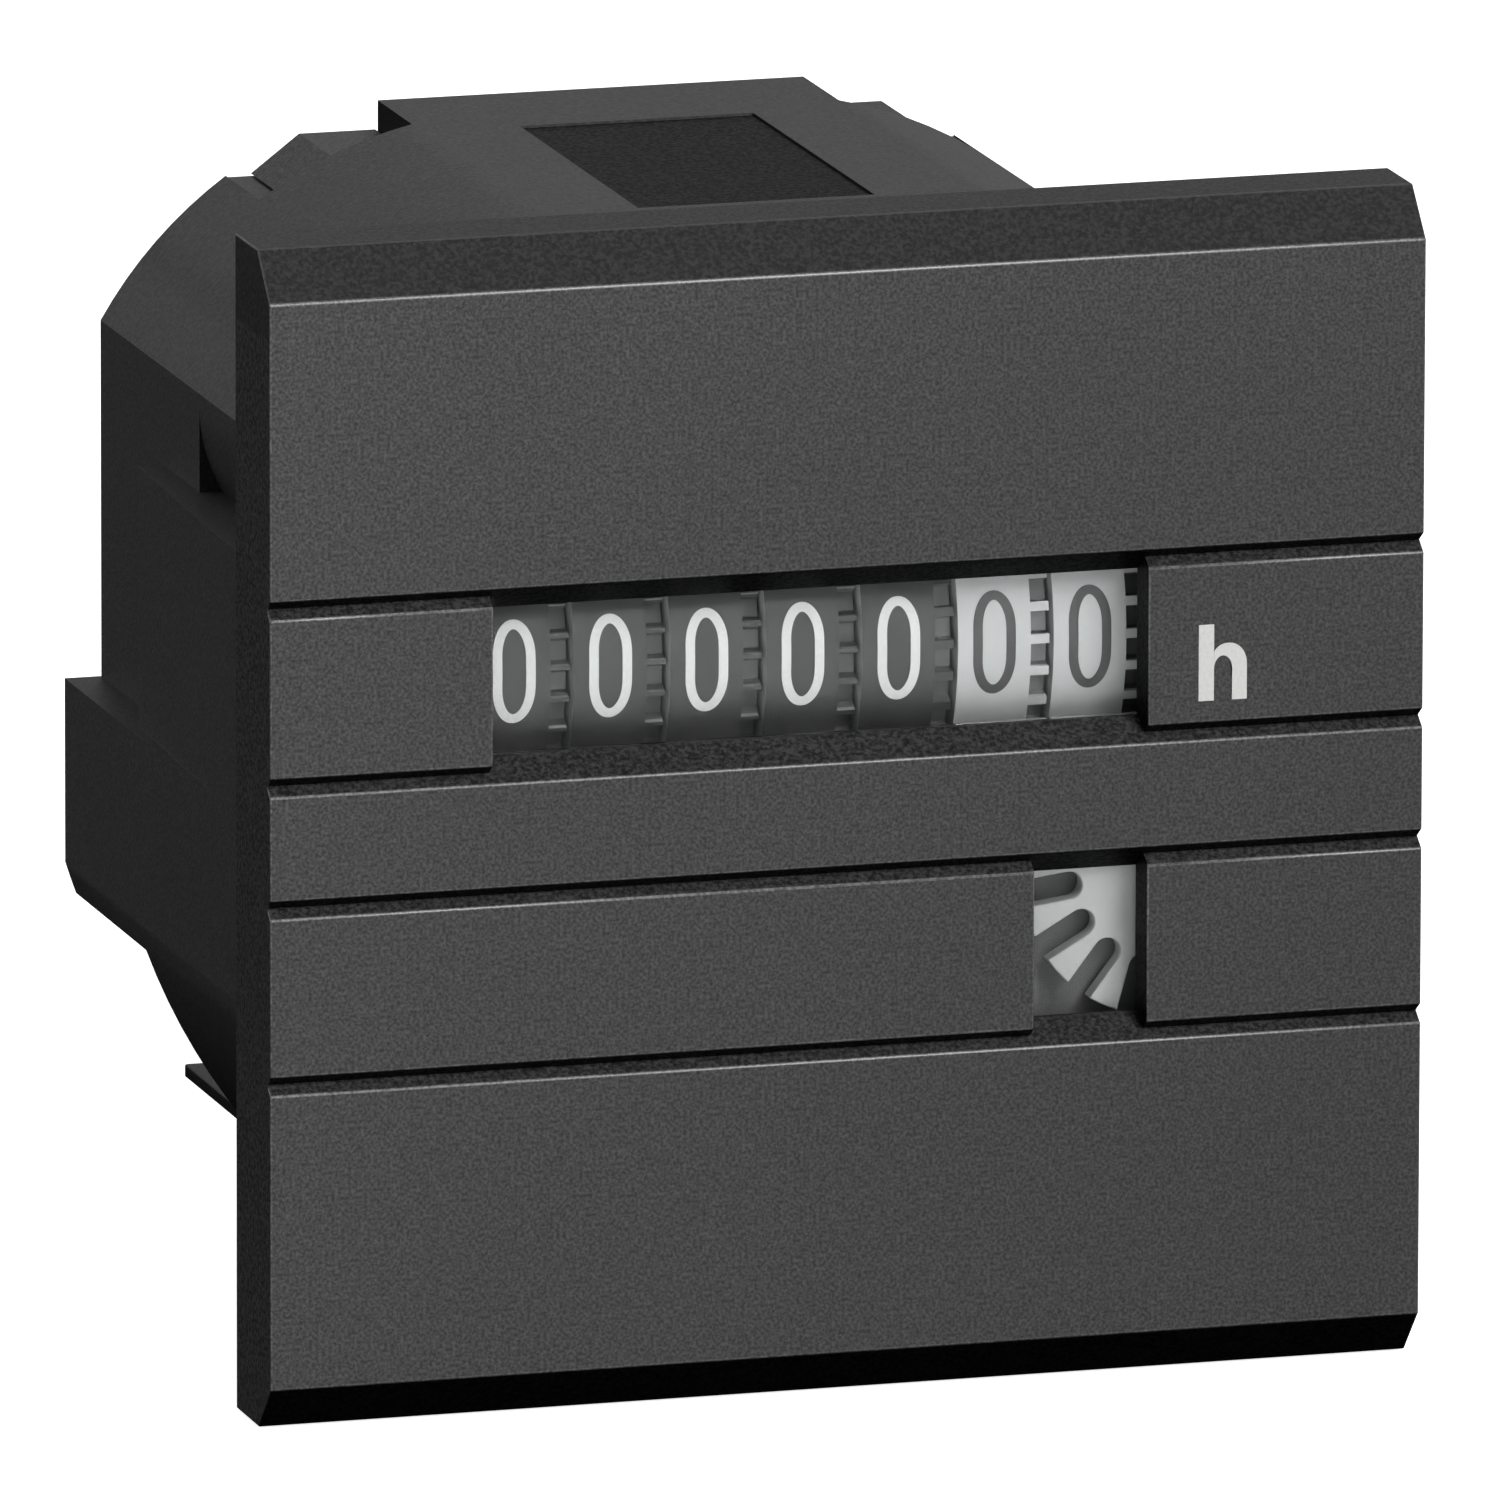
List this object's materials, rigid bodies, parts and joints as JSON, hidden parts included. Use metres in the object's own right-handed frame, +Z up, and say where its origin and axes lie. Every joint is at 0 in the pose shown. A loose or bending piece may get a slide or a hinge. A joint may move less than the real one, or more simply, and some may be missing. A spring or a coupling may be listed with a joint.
{
  "type": "panel hour counter",
  "caption": "Square flush-mounting hour counter: charcoal bezel with grooves, seven number wheels, a slotted running indicator and two rear blades.",
  "frame": {"origin": "centre of the square front plate, on its back face (the face that bears on the panel)", "axes": "+X to the right seen from the front, +Y back into the panel, +Z up"},
  "size_m": [0.048, 0.0371, 0.048],
  "materials": {
    "case_plastic": "fine spark-eroded texture",
    "clear_lens": "clear",
    "tinned_brass": "tin plate, slightly dull",
    "dark_wheel": "satin moulded",
    "light_wheel": "satin moulded",
    "acetal": "satin moulded",
    "steel": "turned",
    "plate_brass": "blanked and brushed",
    "gear_brass": "turned",
    "magnet": "ground",
    "core_steel": "annealed",
    "copper_wire": "enamelled wire",
    "board_green": "solder mask",
    "can_steel": "nickel plate",
    "chip_black": "moulded",
    "sleeve_blue": "shrink sleeve",
    "resistor_tan": "lacquer"
  },
  "bodies": {
    "case": {"front_bezel": "case_plastic", "register_lens": "clear_lens", "indicator_lens": "clear_lens", "housing": "case_plastic", "rear_cover": "case_plastic", "indicator_screen": "case_plastic", "terminal_shelf": "case_plastic", "terminal_left": "tinned_brass", "terminal_right": "tinned_brass", "wheel_shaft": "steel", "pinion_shaft": "steel", "left_arm": "plate_brass", "right_arm": "plate_brass", "front_plate": "plate_brass", "back_plate": "plate_brass", "plate_pillars": "steel", "pillar_screws": "steel", "chassis_posts": "steel", "chassis_screws": "steel", "stator": "core_steel", "motor_posts": "steel", "motor_screws": "steel", "motor_bridge": "plate_brass", "coil_bobbin": "acetal", "coil_winding": "copper_wire", "circuit_board": "board_green", "quartz_crystal": "can_steel", "driver_chip": "chip_black", "reservoir_capacitor": "sleeve_blue", "dropper_resistors": "resistor_tan"},
    "wheel_1": {"number_wheel_1": "dark_wheel"},
    "wheel_2": {"number_wheel_2": "dark_wheel"},
    "wheel_3": {"number_wheel_3": "dark_wheel"},
    "wheel_4": {"number_wheel_4": "dark_wheel"},
    "wheel_5": {"number_wheel_5": "dark_wheel"},
    "wheel_6": {"number_wheel_6": "light_wheel"},
    "wheel_7": {"number_wheel_7": "light_wheel"},
    "carry_1": {"carry_pinion_1": "acetal"},
    "carry_2": {"carry_pinion_2": "acetal"},
    "carry_3": {"carry_pinion_3": "acetal"},
    "carry_4": {"carry_pinion_4": "acetal"},
    "carry_5": {"carry_pinion_5": "acetal"},
    "carry_6": {"carry_pinion_6": "acetal"},
    "indicator": {"star_wheel": "light_wheel", "indicator_arbor": "gear_brass"},
    "middle_gear": {"middle_arbor": "gear_brass"},
    "crown_gear": {"crown_arbor": "gear_brass"},
    "rotor": {"rotor_arbor": "steel", "rotor_magnet": "magnet"}
  },
  "joints": [
    {"name": "indicator_spin", "type": "hinge", "parent": "case", "child": "indicator", "pos_m": [0.01405, -0.003, -0.00346], "axis": [0, -1, 0], "continuous": true},
    {"name": "rotor_spin", "type": "hinge", "parent": "case", "child": "rotor", "pos_m": [0.008, 0.02, -0.00346], "axis": [0, -1, 0], "continuous": true},
    {"name": "middle_gear_spin", "type": "hinge", "parent": "case", "child": "middle_gear", "pos_m": [0.01095, 0.017, 0.00173], "axis": [0, -1, 0], "continuous": true},
    {"name": "crown_gear_spin", "type": "hinge", "parent": "case", "child": "crown_gear", "pos_m": [0.01494, 0.015, 0.00597], "axis": [0, -1, 0], "continuous": true},
    {"name": "wheel_7_turn", "type": "hinge", "parent": "case", "child": "wheel_7", "pos_m": [0.01084, 0.00607, 0.00597], "axis": [-1, 0, 0], "continuous": true},
    {"name": "wheel_6_turn", "type": "hinge", "parent": "case", "child": "wheel_6", "pos_m": [0.00684, 0.00607, 0.00597], "axis": [-1, 0, 0], "range_deg": [0, 324]},
    {"name": "wheel_5_turn", "type": "hinge", "parent": "case", "child": "wheel_5", "pos_m": [0.00284, 0.00607, 0.00597], "axis": [-1, 0, 0], "range_deg": [0, 324]},
    {"name": "wheel_4_turn", "type": "hinge", "parent": "case", "child": "wheel_4", "pos_m": [-0.00116, 0.00607, 0.00597], "axis": [-1, 0, 0], "range_deg": [0, 324]},
    {"name": "wheel_3_turn", "type": "hinge", "parent": "case", "child": "wheel_3", "pos_m": [-0.00516, 0.00607, 0.00597], "axis": [-1, 0, 0], "range_deg": [0, 324]},
    {"name": "wheel_2_turn", "type": "hinge", "parent": "case", "child": "wheel_2", "pos_m": [-0.00916, 0.00607, 0.00597], "axis": [-1, 0, 0], "range_deg": [0, 324]},
    {"name": "wheel_1_turn", "type": "hinge", "parent": "case", "child": "wheel_1", "pos_m": [-0.01316, 0.00607, 0.00597], "axis": [-1, 0, 0], "range_deg": [0, 324]},
    {"name": "carry_6_turn", "type": "hinge", "parent": "case", "child": "carry_6", "pos_m": [0.00914, 0.01125, 0.01423], "axis": [-1, 0, 0], "range_deg": [-1620, 0]},
    {"name": "carry_5_turn", "type": "hinge", "parent": "case", "child": "carry_5", "pos_m": [0.00514, 0.01125, 0.01423], "axis": [-1, 0, 0], "range_deg": [-1620, 0]},
    {"name": "carry_4_turn", "type": "hinge", "parent": "case", "child": "carry_4", "pos_m": [0.00114, 0.01125, 0.01423], "axis": [-1, 0, 0], "range_deg": [-1620, 0]},
    {"name": "carry_3_turn", "type": "hinge", "parent": "case", "child": "carry_3", "pos_m": [-0.00286, 0.01125, 0.01423], "axis": [-1, 0, 0], "range_deg": [-1620, 0]},
    {"name": "carry_2_turn", "type": "hinge", "parent": "case", "child": "carry_2", "pos_m": [-0.00686, 0.01125, 0.01423], "axis": [-1, 0, 0], "range_deg": [-1620, 0]},
    {"name": "carry_1_turn", "type": "hinge", "parent": "case", "child": "carry_1", "pos_m": [-0.01086, 0.01125, 0.01423], "axis": [-1, 0, 0], "range_deg": [-1620, 0]}
  ],
  "couplings": [
    {"joint": "rotor_spin", "follows": "indicator_spin", "ratio": -4},
    {"joint": "middle_gear_spin", "follows": "indicator_spin", "ratio": -0.25},
    {"joint": "crown_gear_spin", "follows": "indicator_spin", "ratio": 0.125},
    {"joint": "wheel_7_turn", "follows": "indicator_spin", "ratio": 0.022222},
    {"joint": "carry_6_turn", "follows": "wheel_6_turn", "ratio": -5},
    {"joint": "carry_5_turn", "follows": "wheel_5_turn", "ratio": -5},
    {"joint": "carry_4_turn", "follows": "wheel_4_turn", "ratio": -5},
    {"joint": "carry_3_turn", "follows": "wheel_3_turn", "ratio": -5},
    {"joint": "carry_2_turn", "follows": "wheel_2_turn", "ratio": -5},
    {"joint": "carry_1_turn", "follows": "wheel_1_turn", "ratio": -5}
  ]
}
